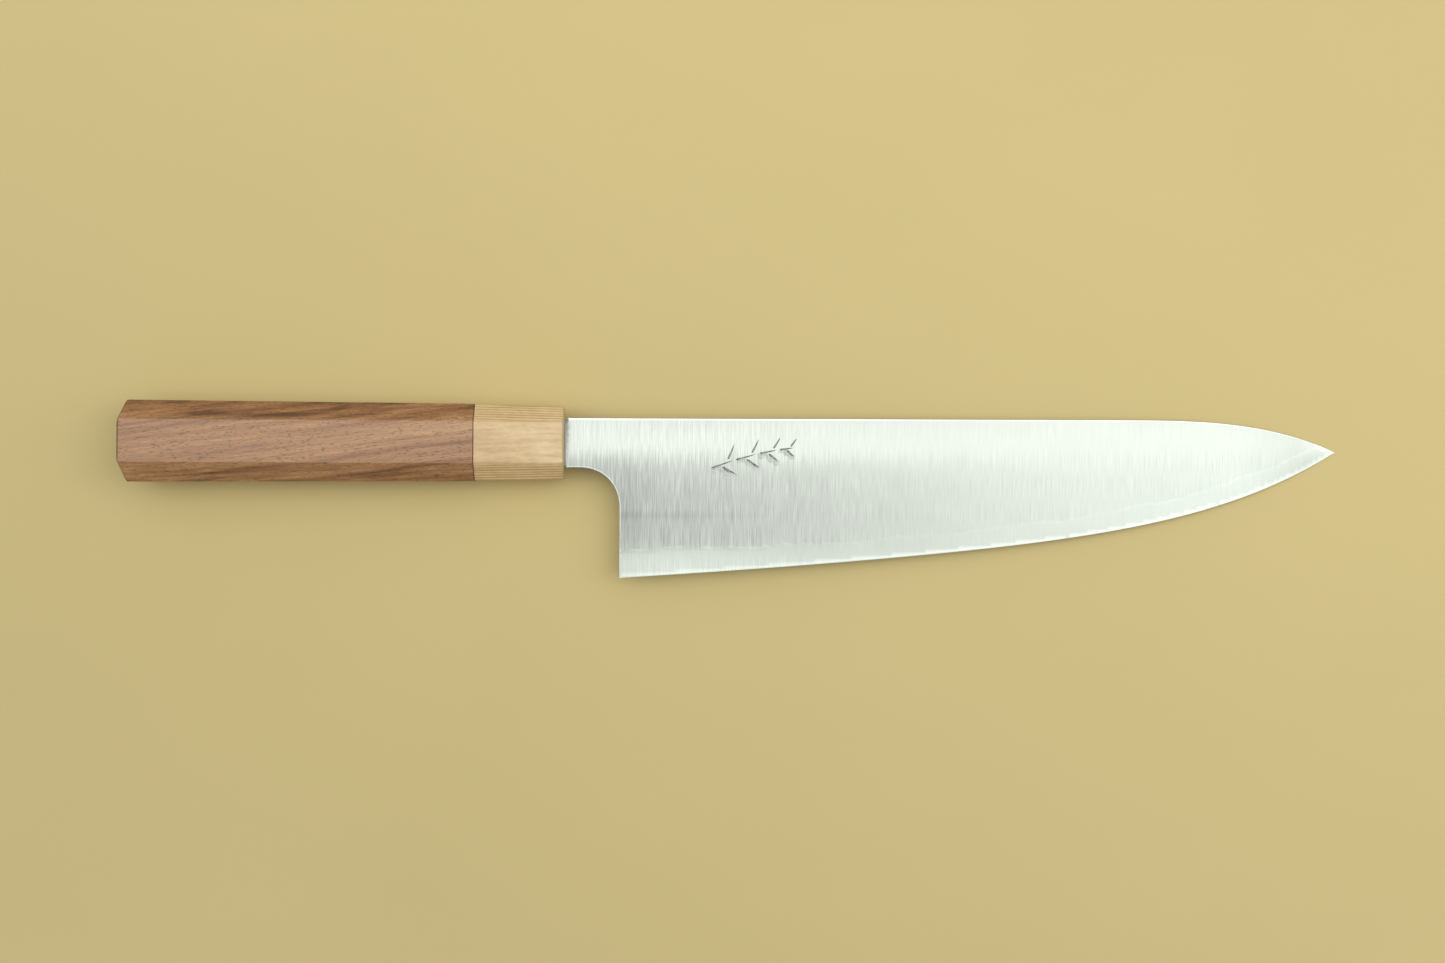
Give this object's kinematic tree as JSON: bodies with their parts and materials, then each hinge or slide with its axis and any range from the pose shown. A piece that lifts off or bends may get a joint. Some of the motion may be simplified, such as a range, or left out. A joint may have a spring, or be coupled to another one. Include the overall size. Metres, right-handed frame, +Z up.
{
  "type": "chef knife",
  "caption": "Japanese chef's knife with a laminated steel blade, finger notch and heel, pale wood ferrule and octagonal walnut handle.",
  "frame": {"origin": "centre of the knife's footprint on the surface that it lies on", "axes": "+X from the butt of the handle to the tip, +Y from the cutting edge to the spine, +Z up from the surface. The knife lies on its left side as it rests on a table, on the ferrule's lower front rim and near the tip, so its own axis is pitched 2.1 degrees, tip down, about Y"},
  "size_m": [0.4046, 0.058, 0.0261],
  "materials": {
    "core_steel": "fine satin, finer than the cladding",
    "cladding_steel": "hairline ground from spine to edge",
    "walnut": "open-grained, oiled, satin",
    "pale_wood": "fine-grained, oiled, satin",
    "dowel_wood": "plain turned, hidden",
    "epoxy": "cured resin, hidden",
    "grey_resin": "wiped resin fillet"
  },
  "bodies": {
    "root": {"blade_core": "core_steel", "blade_cladding_right": "cladding_steel", "blade_cladding_left": "cladding_steel", "handle_body": "walnut", "ferrule": "pale_wood", "handle_dowel": "dowel_wood", "tang_epoxy": "epoxy", "mouth_seal": "grey_resin"}
  },
  "joints": []
}
